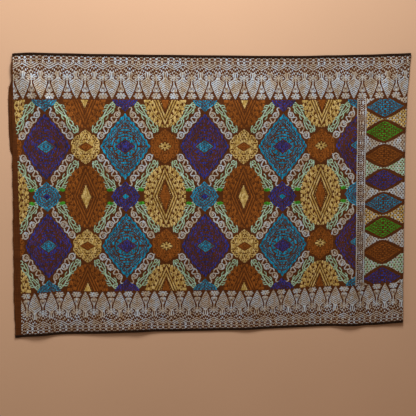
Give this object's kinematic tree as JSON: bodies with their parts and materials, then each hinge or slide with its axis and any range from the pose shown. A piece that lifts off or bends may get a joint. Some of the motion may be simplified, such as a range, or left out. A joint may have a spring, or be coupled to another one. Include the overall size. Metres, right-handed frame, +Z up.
{
  "type": "folded brocade waist wrap cloth",
  "caption": "Long rectangular brocade waist wrap, folded in half across its length and laid face up in soft folds, with borders, lozenge field and head panel.",
  "frame": {"origin": "middle of the folded cloth on the surface that it lies on", "axes": "+X along the folded width to the fold, +Y across the height from the lower to the upper selvedge, +Z up, out of the face"},
  "size_m": [1.21, 0.84, 0.0126],
  "materials": {
    "ground_weave": "dark brown plain weave of fine cotton or silk yarn, matt with a faint sheen",
    "selvedge": "near-black dense selvedge weave, matt",
    "silver_thread": "silver-grey brocade weft, dry metallic glint",
    "mint_thread": "pale mint brocade weft with a soft sheen",
    "gold_thread": "gold-ochre brocade weft with a soft sheen",
    "copper_thread": "copper-brown brocade weft with a soft sheen",
    "violet_thread": "deep violet-blue brocade weft, broken by the dark ground",
    "blue_thread": "teal-blue brocade weft with a soft sheen",
    "green_thread": "leaf-green brocade weft with a soft sheen"
  },
  "bodies": {
    "root": {"cloth": "ground_weave"}
  },
  "joints": []
}
